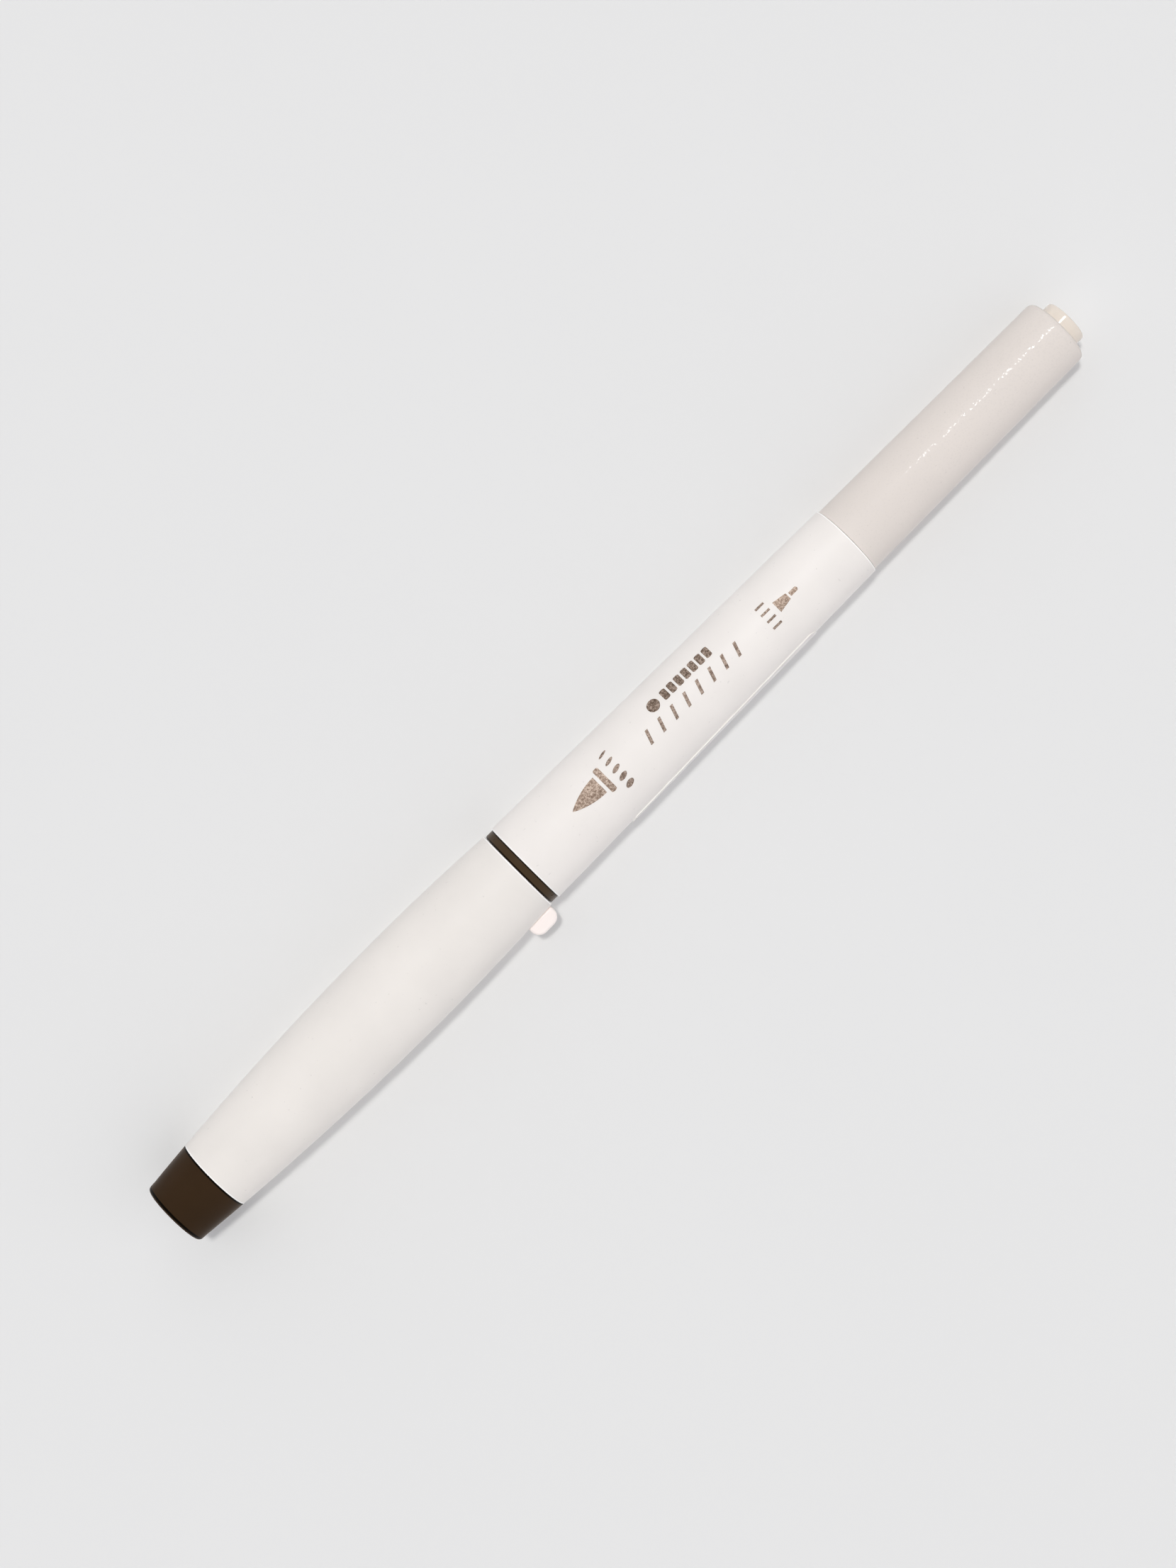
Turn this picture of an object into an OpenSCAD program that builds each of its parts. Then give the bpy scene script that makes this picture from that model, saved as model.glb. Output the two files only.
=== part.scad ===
// Twin-tip calligraphy marker, lying along X with its brush tip towards -X.
// It rests on the ground at Z = 0, and the origin is under the middle of its box.
// Stations are distances along the pen from the brush end's flat face.

/* [Brush cap] */
// Length of the dark plug that closes the end of the brush cap
plug_length = 6.4; // [6:0.1:7]
// Length of the pale brush cap shell, from the plug's seam to the open rim
brush_shell_length = 48.2; // [47.5:0.1:50]
// Largest diameter of the brush cap, at its belly
belly_diameter = 11.8; // [11.7:0.05:12.4]
// Distance of the belly from the brush end's flat face
belly_station = 37; // [36:0.5:39]
// Radius of the long curve between the belly and the plug's end
rear_curve_radius = 370; // [360:5:420]
// Radius of the curve between the belly and the rim
rim_curve_radius = 290; // [280:5:340]
// Diameter of the bore that seats on the brush section's neck
brush_seat_diameter = 9.2; // [9.1:0.05:9.3]
// Corner radius round the plug's flat end
plug_corner_radius = 0.8; // [0.5:0.1:1.1]

/* [Roll stop lug] */
// Length of the lug along the pen
lug_length = 3.6; // [3:0.1:4.2]
// How far the lug stands out of the cap
lug_reach = 1.7; // [1.4:0.1:2]
// Thickness of the lug round the pen
lug_thickness = 2; // [1.6:0.1:2.4]
// Distance of the lug's middle from the cap's rim
lug_from_rim = 2.1; // [2.1:0.1:4]
// Angle of the lug below the horizontal, in degrees
lug_turn = 12; // [5:1:20]

/* [Barrel] */
// Length of the barrel that shows between the collar and the fine cap
barrel_length = 51.1; // [50:0.1:54]
// Barrel diameter beside the collar
barrel_brush_diameter = 10.74; // [10.6:0.02:11]
// Barrel diameter beside the fine cap
barrel_fine_diameter = 9.32; // [9.2:0.02:9.5]
// Width of the dark collar between the brush cap and the barrel
collar_length = 1.1; // [0.9:0.1:1.4]
// Diameter of the dark collar
collar_diameter = 10.4; // [10.2:0.05:10.5]

/* [Label] */
// Length of the label along the barrel
label_length = 29.5; // [25:0.5:32]
// Distance of the label from the collar
label_offset = 11.9; // [10:0.1:13]
// Angle that the label wraps round the barrel, in degrees
label_wrap = 150; // [120:5:170]
// Thickness of the label
label_thickness = 0.1; // [0.08:0.01:0.15]

/* [Fine cap] */
// Length of the fine cap shell, from its rim to its flat end
fine_shell_length = 33.7; // [33.5:0.1:35]
// Outside diameter of the fine cap at its rim
fine_rim_diameter = 8.95; // [8.85:0.05:9.1]
// Outside diameter of the fine cap at its flat end
fine_end_diameter = 8.45; // [8.4:0.05:8.6]
// Corner radius round the fine cap's flat end
fine_corner_radius = 0.8; // [0.5:0.1:0.9]
// Diameter of the bore that seats on the fine section's neck
fine_seat_diameter = 7.2; // [7.1:0.05:7.25]
// Diameter of the button on the fine cap's end
button_diameter = 5.4; // [5:0.1:5.8]
// Height of the button above the fine cap's end
button_length = 1.5; // [1.2:0.1:1.8]
// Angle of the fine cap's mould line from straight below, in degrees
fine_cap_mould_line = 3; // [0:1:30]

/* [Tips] */
// Diameter of the brush tip at its root
brush_nib_diameter = 3.4; // [3.2:0.1:3.6]
// Length of the brush tip that stands out of its section
brush_nib_reach = 10.2; // [9:0.1:10.3]
// Diameter of the fine tip rod
fine_nib_diameter = 0.9; // [0.8:0.05:1]
// Length of the fine tip that stands out of its tube
fine_nib_reach = 1.7; // [1:0.1:2]
// Diameter of the wick behind the brush tip
brush_core_diameter = 2.4; // [2.2:0.1:2.8]
// Diameter of the wick behind the fine tip
fine_core_diameter = 1.8; // [1.7:0.05:1.9]

/* [Fits] */
// Radial clearance of a sliding or turning cap
running_gap = 0.05; // [0.03:0.01:0.08]
// Depth of the relief between the sealing lands on a neck
neck_relief = 0.1; // [0.06:0.02:0.14]

/* [Hidden] */
$fn = 96;

// Number of straight steps on a long curve, on the brush cap's torpedo form and on a small corner
curve_steps = 24;
cap_steps = 72;
corner_steps = 8;
// Cuts run past a face by this much
past = 1;
// Small bevel on an edge that would be sharp, and the larger ones on a section's steps
edge = 0.1;
boss_bevel = 0.2;
neck_bevel = 0.3;
// Overlap of two cuts that meet
overlap = 0.01;

// Stations of the seams along the pen
seam_x = plug_length;
brush_rim_x = seam_x + brush_shell_length;
barrel_x = brush_rim_x + collar_length;
fine_rim_x = barrel_x + barrel_length;
fine_end_x = fine_rim_x + fine_shell_length;
pen_length = fine_end_x + button_length;

// Gap between a cap's rim and the face that it stops against
rim_gap = running_gap;

// Outside radii
belly_r = belly_diameter / 2;
barrel_brush_r = barrel_brush_diameter / 2;
barrel_fine_r = barrel_fine_diameter / 2;
collar_r = collar_diameter / 2;
fine_rim_r = fine_rim_diameter / 2;
fine_end_r = fine_end_diameter / 2;
button_r = button_diameter / 2;

// Brush section: neck under the cap, boss inside the liner, and cone round the tip
brush_seat_r = brush_seat_diameter / 2;
brush_land_r = brush_seat_r - running_gap;
brush_neck_r = brush_land_r - neck_relief;
brush_neck_x = brush_rim_x - 12;
brush_boss_r = 3.2;
brush_boss_x = brush_neck_x - 9;
brush_cone_r = 2.15;
brush_cone_x = brush_boss_x - 5;
brush_tail_r = 4.2;
brush_tail_x = barrel_x + 9;
brush_coring_r = 3.2;
brush_coring_x = brush_rim_x - 6;
land_width = 1.2;
land_pitch = 6;

// Brush tip, its grip ring and its wick
brush_nib_r = brush_nib_diameter / 2;
brush_tip_x = brush_cone_x - brush_nib_reach;
brush_point_r = 0.15;
nib_fullness = 0.85;
nib_collar_r = 2.6;
nib_collar_x = brush_cone_x + 8;
nib_collar_length = 4;
brush_nib_root_x = nib_collar_x + nib_collar_length + 1;
brush_core_r = brush_core_diameter / 2;

// Ink reservoir and the barrel's bore
sleeve_r = 3.9;
film = 0.1;
reservoir_r = sleeve_r - film;
reservoir_x = brush_tail_x + 1;
stop_r = 3.3;
stop_length = 1.5;
fine_tail_length = 10.3;
fine_tail_x = fine_rim_x - fine_tail_length;
stop_x = fine_tail_x - stop_length;
core_depth = 6;
brush_core_end_x = reservoir_x + core_depth;
fine_core_end_x = stop_x - core_depth;

// Fine section
fine_seat_r = fine_seat_diameter / 2;
fine_land_r = fine_seat_r - running_gap;
fine_neck_r = fine_land_r - neck_relief;
fine_neck_x = fine_rim_x + 11.2;
fine_boss_r = 2.5;
fine_boss_x = fine_neck_x + 6;
fine_cone_r = 1.3;
fine_cone_x = fine_boss_x + 5;
fine_coring_r = 2.4;
fine_coring_x = fine_rim_x + 3.2;

// Fine tip, its metal tube and its wick
fine_nib_r = fine_nib_diameter / 2;
fine_core_r = fine_core_diameter / 2;
tube_x = fine_cone_x - 7.8;
tube_step_x = fine_cone_x + 0.6;
tube_nose_x = fine_cone_x + 2.6;
tube_nose_r = 0.65;
fine_tip_x = tube_nose_x + fine_nib_reach;
fine_nib_root_x = tube_x - 2.2;

// Brush cap inside: shoulder that the liner meets, cavity, and the plug's socket
brush_shoulder_x = brush_neck_x - 4;
brush_cavity_r = 4.1;
plug_stem_r = 3.5;
plug_stem_length = 5;
plug_socket_x = seam_x + plug_stem_length + 0.8;
plug_wall = 1.6;
plug_hollow_r = 2.6;

// Brush cap liner
brush_flange_length = 3.2;
brush_liner_r = 3.95;
brush_liner_bore_r = 3.1;
brush_liner_seal_r = brush_boss_r + running_gap;
brush_liner_x = plug_socket_x + 0.5;
brush_liner_corner = 0.8;
end_wall = 1;
air_notches = 4;
air_notch_width = 1.6;
air_notch_r = 4.1;

// Fine cap inside and its liner
fine_shoulder_x = fine_neck_x + 3.8;
fine_cavity_r = 3.2;
fine_end_wall = 1.4;
fine_flange_length = 3.3;
fine_liner_r = 3.05;
fine_liner_bore_r = 2.3;
fine_liner_seal_r = fine_boss_r + running_gap;
fine_liner_end_x = fine_end_x - 3.5;
fine_liner_corner = 0.6;
fine_air_notch_r = 3.2;

// Button: stem through the cap's end wall, with a lip behind the wall
stem_r = 1.8;
stem_lip_r = 2.05;
stem_lip_length = 0.8;
stem_length = 2.9;
button_corner = 0.3;

// Lug
lug_x = brush_rim_x - lug_from_rim;
lug_corner = 1.05;
lug_edge = 0.35;
tenon_length = 2.4;
tenon_thickness = 1.2;
tenon_depth = 0.45;

// Label: a corner radius, and the end of the wrap that shows beside the barrel, in degrees
// round the pen from straight down, negative on the lug's side
label_x = barrel_x + label_offset;
label_corner = 1;
label_start = -110;

// Radius of the brush cap's torpedo form at a station
function cap_radius(x) =
    belly_r - pow(x - belly_station, 2) / (2 * (x < belly_station ? rear_curve_radius : rim_curve_radius));

// Points along the torpedo form, from one station to another
function cap_curve(from, to) = [
    for (i = [0 : cap_steps])
        let (x = from + (to - from) * i / cap_steps)
            [x, cap_radius(x)]
];

// Radius of the barrel's taper at a station
function barrel_radius(x) =
    barrel_brush_r + (barrel_fine_r - barrel_brush_r) * (x - barrel_x) / barrel_length;

// Points on an arc, by its centre, radius and end angles
function arc(cx, cy, r, from, to) = [
    for (i = [0 : corner_steps])
        let (a = from + (to - from) * i / corner_steps)
            [cx + r * cos(a), cy + r * sin(a)]
];

lug_top_r = cap_radius(lug_x) + lug_reach;

// The pen's axis: as high as the belly, and beside the middle of the box by half of what the lug adds
lug_side = lug_top_r * cos(lug_turn) + (lug_thickness / 2 - lug_edge) * sin(lug_turn);
axis_y = (max(lug_side, belly_r) - belly_r) / 2;
axis_z = belly_r;

// Places a piece drawn along the pen's axis
module place() {
    translate([-pen_length / 2, axis_y, axis_z]) children();
}

// Places a piece of the brush cap, which is drawn with the lug along -Y, and turns the cap round the pen
module place_brush_cap() {
    place() rotate([lug_turn, 0, 0]) children();
}

// Places a piece of the fine cap, whose mould line stays off the lowest line that it lies on
module place_fine_cap() {
    place() rotate([fine_cap_mould_line, 0, 0]) children();
}

// Solid of revolution about the pen's axis, from an outline of [station, radius] points
module turned(outline) {
    rotate([0, 90, 0]) rotate_extrude() polygon([for (p = outline) [p[1], p[0]]]);
}

// Straight round rod between two stations
module rod(from, to, r) {
    turned([[from, 0], [to, 0], [to, r], [from, r]]);
}

// Straight tube between two stations
module tube(from, to, inner, outer) {
    turned([[from, inner], [to, inner], [to, outer], [from, outer]]);
}

module barrel() {
    color("whitesmoke") place()
        turned([
            [barrel_x, barrel_brush_r - edge],
            [barrel_x + edge, barrel_radius(barrel_x + edge)],
            [fine_rim_x - edge, barrel_radius(fine_rim_x - edge)],
            [fine_rim_x, barrel_fine_r - edge],
            [fine_rim_x, fine_seat_r],
            [fine_tail_x, fine_seat_r],
            [fine_tail_x, stop_r],
            [stop_x, stop_r],
            [stop_x, sleeve_r],
            [brush_tail_x, sleeve_r],
            [brush_tail_x, brush_tail_r],
            [barrel_x, brush_tail_r]
        ]);
}

// Tool that rounds one corner of the label: along is the corner's direction along the pen, and
// round its direction round the pen
module label_corner_cut(x, angle, along, round) {
    rotate([angle, 0, 0])
        translate([x, 0, -barrel_brush_r - past])
            mirrored(along, round)
                linear_extrude(height = 2 * past)
                    difference() {
                        translate([-past, -past]) square(label_corner + past);
                        translate([label_corner, label_corner]) circle(r = label_corner);
                    }
}

// Mirrors children along X or Y where the direction given is negative
module mirrored(along, round) {
    mirror([along < 0 ? 1 : 0, 0, 0]) mirror([0, round < 0 ? 1 : 0, 0]) children();
}

module barrel_label() {
    label_end_x = label_x + label_length;
    color("white") place()
        difference() {
            rotate([0, 90, 0])
                rotate([0, 0, label_start])
                    rotate_extrude(angle = label_wrap)
                        polygon([
                            [barrel_radius(label_x), label_x],
                            [barrel_radius(label_x) + label_thickness, label_x],
                            [barrel_radius(label_end_x) + label_thickness, label_end_x],
                            [barrel_radius(label_end_x), label_end_x]
                        ]);
            for (x_end = [[label_x, 1], [label_end_x, -1]])
                for (wrap_end = [[label_start, 1], [label_start + label_wrap, -1]])
                    label_corner_cut(x_end[0], wrap_end[0], x_end[1], wrap_end[1]);
        }
}

module ink_reservoir() {
    color("peru") place()
        difference() {
            rod(reservoir_x, stop_x, reservoir_r);
            rod(reservoir_x - past, brush_core_end_x, brush_core_r);
            rod(fine_core_end_x, stop_x + past, fine_core_r);
        }
}

module reservoir_sleeve() {
    color("lightgray") place() tube(reservoir_x, stop_x, reservoir_r, sleeve_r);
}

module brush_section() {
    land_2_x = brush_rim_x - land_pitch;
    color("saddlebrown") place()
        difference() {
            turned([
                [brush_cone_x, 0],
                [brush_cone_x, brush_cone_r],
                [brush_boss_x - boss_bevel, brush_boss_r - boss_bevel],
                [brush_boss_x, brush_boss_r],
                [brush_neck_x, brush_boss_r],
                [brush_neck_x, brush_neck_r - neck_bevel],
                [brush_neck_x + neck_bevel, brush_neck_r],
                [land_2_x - land_width, brush_neck_r],
                [land_2_x - land_width, brush_land_r],
                [land_2_x, brush_land_r],
                [land_2_x, brush_neck_r],
                [brush_rim_x - land_width, brush_neck_r],
                [brush_rim_x - land_width, brush_land_r],
                [brush_rim_x, brush_land_r],
                [brush_rim_x, collar_r - 2 * edge],
                [brush_rim_x + 2 * edge, collar_r],
                [barrel_x, collar_r],
                [barrel_x, brush_tail_r],
                [brush_tail_x, brush_tail_r],
                [brush_tail_x, 0]
            ]);
            rod(brush_cone_x - past, nib_collar_x + past, brush_nib_r);
            rod(nib_collar_x, brush_coring_x, nib_collar_r);
            rod(brush_coring_x - overlap, brush_tail_x + past, brush_coring_r);
        }
}

// Brush tip: a root in the section and a pointed, slightly bulging tip
module brush_nib() {
    color("sienna") place()
        turned(concat(
            [[brush_tip_x, 0]],
            [
                for (i = [0 : curve_steps])
                    let (s = i / curve_steps)
                        [
                            brush_tip_x + brush_nib_reach * s,
                            brush_point_r + (brush_nib_r - brush_point_r) * pow(sin(90 * s), nib_fullness)
                        ]
            ],
            [[brush_nib_root_x, brush_nib_r], [brush_nib_root_x, 0]]
        ));
}

module brush_nib_collar() {
    color("white") place()
        tube(nib_collar_x, nib_collar_x + nib_collar_length, brush_nib_r, nib_collar_r);
}

module brush_relay_core() {
    color("burlywood") place() rod(brush_nib_root_x, brush_core_end_x, brush_core_r);
}

module fine_section() {
    land_2_x = fine_rim_x + land_pitch;
    color("antiquewhite") place()
        difference() {
            turned([
                [fine_tail_x, 0],
                [fine_tail_x, fine_seat_r],
                [fine_rim_x, fine_seat_r],
                [fine_rim_x, fine_land_r],
                [fine_rim_x + land_width, fine_land_r],
                [fine_rim_x + land_width, fine_neck_r],
                [land_2_x, fine_neck_r],
                [land_2_x, fine_land_r],
                [land_2_x + land_width, fine_land_r],
                [land_2_x + land_width, fine_neck_r],
                [fine_neck_x - neck_bevel, fine_neck_r],
                [fine_neck_x, fine_neck_r - neck_bevel],
                [fine_neck_x, fine_boss_r],
                [fine_boss_x, fine_boss_r],
                [fine_boss_x + boss_bevel, fine_boss_r - boss_bevel],
                [fine_cone_x, fine_cone_r],
                [fine_cone_x, 0]
            ]);
            rod(fine_tail_x - past, fine_coring_x, fine_coring_r);
            rod(fine_coring_x - overlap, fine_cone_x + past, fine_core_r);
        }
}

module fine_nib_tube() {
    color("silver") place()
        turned([
            [tube_x, fine_nib_r],
            [tube_nose_x, fine_nib_r],
            [tube_nose_x, tube_nose_r - edge],
            [tube_nose_x - edge, tube_nose_r],
            [tube_step_x + fine_core_r - tube_nose_r, tube_nose_r],
            [tube_step_x, fine_core_r],
            [tube_x, fine_core_r]
        ]);
}

module fine_nib() {
    color("sienna") place()
        turned(concat(
            [[fine_nib_root_x, 0], [fine_nib_root_x, fine_nib_r]],
            arc(fine_tip_x - fine_nib_r, 0, fine_nib_r, 90, 0)
        ));
}

module fine_relay_core() {
    color("burlywood") place()
        difference() {
            rod(fine_core_end_x, tube_x, fine_core_r);
            rod(fine_nib_root_x, tube_x + past, fine_nib_r);
        }
}

// Outer form of the brush cap shell, solid
module brush_cap_form() {
    turned(concat([[seam_x, 0]], cap_curve(seam_x, brush_rim_x), [[brush_rim_x, 0]]));
}

// Tenon that holds the lug in the shell's pocket
module lug_tenon() {
    tenon_foot_r = cap_radius(lug_x) - tenon_depth;
    translate([lug_x - tenon_length / 2, -tenon_foot_r - 2 * tenon_depth, -tenon_thickness / 2])
        cube([tenon_length, 2 * tenon_depth, tenon_thickness]);
}

module brush_cap_shell() {
    rim_x = brush_rim_x - rim_gap;
    color("whitesmoke") place_brush_cap()
        difference() {
            turned(concat(
                [[seam_x, plug_stem_r]],
                cap_curve(seam_x, rim_x - edge),
                [
                    [rim_x, cap_radius(rim_x) - edge],
                    [rim_x, brush_seat_r],
                    [brush_shoulder_x, brush_seat_r],
                    [brush_shoulder_x, brush_cavity_r],
                    [plug_socket_x, brush_cavity_r],
                    [plug_socket_x, plug_stem_r]
                ]
            ));
            lug_tenon();
        }
}

// Lug: rounded outer corners seen from above, rounded edges seen along the pen
module roll_stop_lug() {
    half = lug_length / 2;
    half_t = lug_thickness / 2;
    color("snow") place_brush_cap()
        union() {
            difference() {
                translate([lug_x, 0, 0])
                    intersection() {
                        linear_extrude(height = lug_thickness, center = true)
                            mirror([0, 1, 0])
                                polygon(concat(
                                    [[-half, 0]],
                                    arc(lug_corner - half, lug_top_r - lug_corner, lug_corner, 180, 90),
                                    arc(half - lug_corner, lug_top_r - lug_corner, lug_corner, 90, 0),
                                    [[half, 0]]
                                ));
                        rotate([90, 0, 90])
                            linear_extrude(height = lug_length + past, center = true)
                                mirror([1, 0, 0])
                                    polygon(concat(
                                        [[0, -half_t]],
                                        arc(lug_top_r - lug_edge, lug_edge - half_t, lug_edge, -90, 0),
                                        arc(lug_top_r - lug_edge, half_t - lug_edge, lug_edge, 0, 90),
                                        [[0, half_t]]
                                    ));
                    }
                brush_cap_form();
            }
            lug_tenon();
        }
}

// Cuts air channels through a liner's flange, so that a swallowed cap lets air past
module air_channels(from, to, floor_r, top_r) {
    for (i = [0 : air_notches - 1])
        rotate([45 + 360 / air_notches * i, 0, 0])
            translate([from - past, -air_notch_width / 2, floor_r])
                cube([to - from + 2 * past, air_notch_width, top_r - floor_r + past]);
}

module brush_cap_liner() {
    flange_x = brush_shoulder_x + running_gap;
    mouth_x = flange_x + brush_flange_length;
    color("gainsboro") place()
        difference() {
            turned(concat(
                [[brush_liner_x, 0]],
                arc(brush_liner_x + brush_liner_corner, brush_liner_r - brush_liner_corner,
                    brush_liner_corner, 180, 90),
                [
                    [flange_x, brush_liner_r],
                    [flange_x, brush_seat_r - running_gap],
                    [mouth_x, brush_seat_r - running_gap],
                    [mouth_x, brush_liner_seal_r],
                    [brush_boss_x - boss_bevel, brush_liner_seal_r],
                    [brush_boss_x - boss_bevel, brush_liner_bore_r],
                    [brush_liner_x + end_wall, brush_liner_bore_r],
                    [brush_liner_x + end_wall, 0]
                ]
            ));
            air_channels(flange_x, mouth_x, air_notch_r, brush_seat_r);
        }
}

module brush_cap_plug() {
    stem_x = seam_x + plug_stem_length;
    shoulder_r = cap_radius(plug_corner_radius);
    color("saddlebrown") place_brush_cap()
        turned(concat(
            [[0, 0]],
            arc(plug_corner_radius, shoulder_r - plug_corner_radius, plug_corner_radius, 180, 90),
            cap_curve(plug_corner_radius + edge, seam_x),
            [
                [seam_x, plug_stem_r],
                [stem_x - neck_bevel, plug_stem_r],
                [stem_x, plug_stem_r - neck_bevel],
                [stem_x, plug_hollow_r],
                [plug_wall, plug_hollow_r],
                [plug_wall, 0]
            ]
        ));
}

module fine_cap_shell() {
    rim_x = fine_rim_x + rim_gap;
    cavity_end_x = fine_end_x - fine_end_wall;
    color("linen") place_fine_cap()
        turned(concat(
            [
                [rim_x, fine_seat_r],
                [rim_x, fine_rim_r - edge],
                [rim_x + edge, fine_rim_r]
            ],
            arc(fine_end_x - fine_corner_radius, fine_end_r - fine_corner_radius, fine_corner_radius, 90, 0),
            [
                [fine_end_x, stem_r],
                [cavity_end_x, stem_r],
                [cavity_end_x, fine_cavity_r],
                [fine_shoulder_x, fine_cavity_r],
                [fine_shoulder_x, fine_seat_r]
            ]
        ));
}

module fine_cap_liner() {
    flange_end_x = fine_shoulder_x - running_gap;
    mouth_x = flange_end_x - fine_flange_length;
    color("gainsboro") place()
        difference() {
            turned(concat(
                [
                    [fine_liner_end_x - end_wall, 0],
                    [fine_liner_end_x - end_wall, fine_liner_bore_r],
                    [fine_boss_x + boss_bevel, fine_liner_bore_r],
                    [fine_boss_x + boss_bevel, fine_liner_seal_r],
                    [mouth_x, fine_liner_seal_r],
                    [mouth_x, fine_seat_r - running_gap],
                    [flange_end_x, fine_seat_r - running_gap],
                    [flange_end_x, fine_liner_r]
                ],
                arc(fine_liner_end_x - fine_liner_corner, fine_liner_r - fine_liner_corner,
                    fine_liner_corner, 90, 0),
                [[fine_liner_end_x, 0]]
            ));
            air_channels(mouth_x, flange_end_x, fine_air_notch_r, fine_seat_r);
        }
}

module fine_cap_button() {
    stem_x = fine_end_x - stem_length;
    wall_x = fine_end_x - fine_end_wall;
    color("antiquewhite") place_fine_cap()
        turned(concat(
            [
                [stem_x, 0],
                [stem_x, stem_r],
                [wall_x - stem_lip_length, stem_r],
                [wall_x - stem_lip_length + stem_lip_r - stem_r, stem_lip_r],
                [wall_x, stem_lip_r],
                [wall_x, stem_r],
                [fine_end_x, stem_r],
                [fine_end_x, button_r]
            ],
            arc(pen_length - button_corner, button_r - button_corner, button_corner, 90, 0),
            [[pen_length, 0]]
        ));
}

barrel();
barrel_label();
ink_reservoir();
reservoir_sleeve();
brush_section();
brush_nib();
brush_nib_collar();
brush_relay_core();
fine_section();
fine_nib_tube();
fine_nib();
fine_relay_core();
brush_cap_shell();
brush_cap_liner();
brush_cap_plug();
roll_stop_lug();
fine_cap_shell();
fine_cap_liner();
fine_cap_button();
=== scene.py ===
"""Twin-tip calligraphy marker: the looks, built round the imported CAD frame.

Helpers work in millimetres. A station is a distance along the pen from the brush end's flat face,
and an angle round the pen is measured from straight up towards +Y.
"""

import math

import bmesh
import bpy
from mathutils import Matrix, Vector


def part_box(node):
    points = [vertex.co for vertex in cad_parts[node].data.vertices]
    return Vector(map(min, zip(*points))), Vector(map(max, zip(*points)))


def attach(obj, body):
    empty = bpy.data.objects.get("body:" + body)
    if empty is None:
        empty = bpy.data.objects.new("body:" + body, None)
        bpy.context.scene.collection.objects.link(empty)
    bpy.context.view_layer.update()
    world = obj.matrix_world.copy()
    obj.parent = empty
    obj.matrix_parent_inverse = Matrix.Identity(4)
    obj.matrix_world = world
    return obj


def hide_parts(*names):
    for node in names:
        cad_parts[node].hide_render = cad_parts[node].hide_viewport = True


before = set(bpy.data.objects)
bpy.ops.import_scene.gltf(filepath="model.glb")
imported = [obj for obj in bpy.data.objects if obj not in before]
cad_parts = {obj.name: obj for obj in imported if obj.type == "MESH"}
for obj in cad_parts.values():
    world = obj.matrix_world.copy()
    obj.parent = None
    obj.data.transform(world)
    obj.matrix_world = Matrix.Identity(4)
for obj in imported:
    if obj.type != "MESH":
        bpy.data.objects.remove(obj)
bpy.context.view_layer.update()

MM = 0.001

# Steps round the pen, along a curved outline and in a fillet
SEGMENTS = 160
CURVE_STEPS = 96
FILLET_STEPS = 6
# The most of an edge that the fillet at one of its ends may take
FILLET_SHARE = 0.48
# An outline's point with a smaller radius than this lies on the pen's axis
ON_AXIS = 1e-6
# Edges that turn by more than this are shaded sharp
SHARP_ANGLE = math.radians(32)


# ---------------------------------------------------------------- places from the frame

def box_mm(node):
    """A CAD node's lowest and highest corners, in millimetres."""
    low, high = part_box(node)
    return low / MM, high / MM


def half_height(node):
    """Outside radius of a round CAD node."""
    low, high = box_mm(node)
    return (high.z - low.z) / 2


START = box_mm("brush_cap_plug")[0].x
BARREL_LOW, BARREL_HIGH = box_mm("barrel")
AXIS_Y = (BARREL_LOW.y + BARREL_HIGH.y) / 2
AXIS_Z = (BARREL_LOW.z + BARREL_HIGH.z) / 2


def first(node):
    """Station where a CAD node starts."""
    return box_mm(node)[0].x - START


def last(node):
    """Station where a CAD node ends."""
    return box_mm(node)[1].x - START


SEAM = first("brush_cap_shell")
BRUSH_RIM = last("brush_cap_shell")
BARREL_START = first("barrel")
BARREL_END = last("barrel")
FINE_RIM = first("fine_cap_shell")
FINE_END = last("fine_cap_shell")
PEN_END = last("fine_cap_button")

# Outside form: radii end in _R, and the other values are stations. The brush cap has a long curve of its
# own on either side of its belly.
BELLY_R = half_height("brush_cap_shell")
BELLY = 37.0
REAR_CURVE_R = 370.0
RIM_CURVE_R = 290.0
BARREL_BRUSH_R = half_height("barrel")
BARREL_FINE_R = 4.66
COLLAR_R = half_height("brush_section")
FINE_RIM_R = half_height("fine_cap_shell")
FINE_END_R = 4.225
FINE_CORNER_R = 0.8
BUTTON_R = half_height("fine_cap_button")

# Brush side, inside
BRUSH_SEAT_R = 4.6
BRUSH_LAND_R = 4.55
BRUSH_NECK_R = 4.45
BRUSH_NECK = 42.6
BRUSH_SHOULDER = 38.6
BRUSH_CAVITY_R = 4.1
BRUSH_BOSS_R = 3.2
BRUSH_BOSS = 33.6
BRUSH_CONE_R = 2.15
BRUSH_CONE = 28.6
BRUSH_NIB_R = half_height("brush_nib")
BRUSH_TAIL_R = 4.2
BRUSH_TAIL = 64.7
PLUG_STEM_R = 3.5
PLUG_SOCKET = 12.2

# Fine side, inside
FINE_SEAT_R = 3.6
FINE_LAND_R = 3.55
FINE_NECK_R = 3.45
FINE_NECK = 118.0
FINE_SHOULDER = 121.8
FINE_CAVITY_R = 3.2
FINE_BOSS_R = 2.5
FINE_BOSS = 124.0
FINE_CONE_R = 1.3
FINE_CONE = 129.0
FINE_CORE_R = half_height("fine_relay_core")
FINE_NIB_R = half_height("fine_nib")
FINE_WALL = FINE_END - 1.4
BUTTON_STEM_R = 1.8

# Lands that a cap grips, and the bevel at the front of a sealing boss
LAND_WIDTH = 1.2
LAND_PITCH = 6.0
LAND_RAMP = 0.1
BOSS_BEVEL = 0.2

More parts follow.
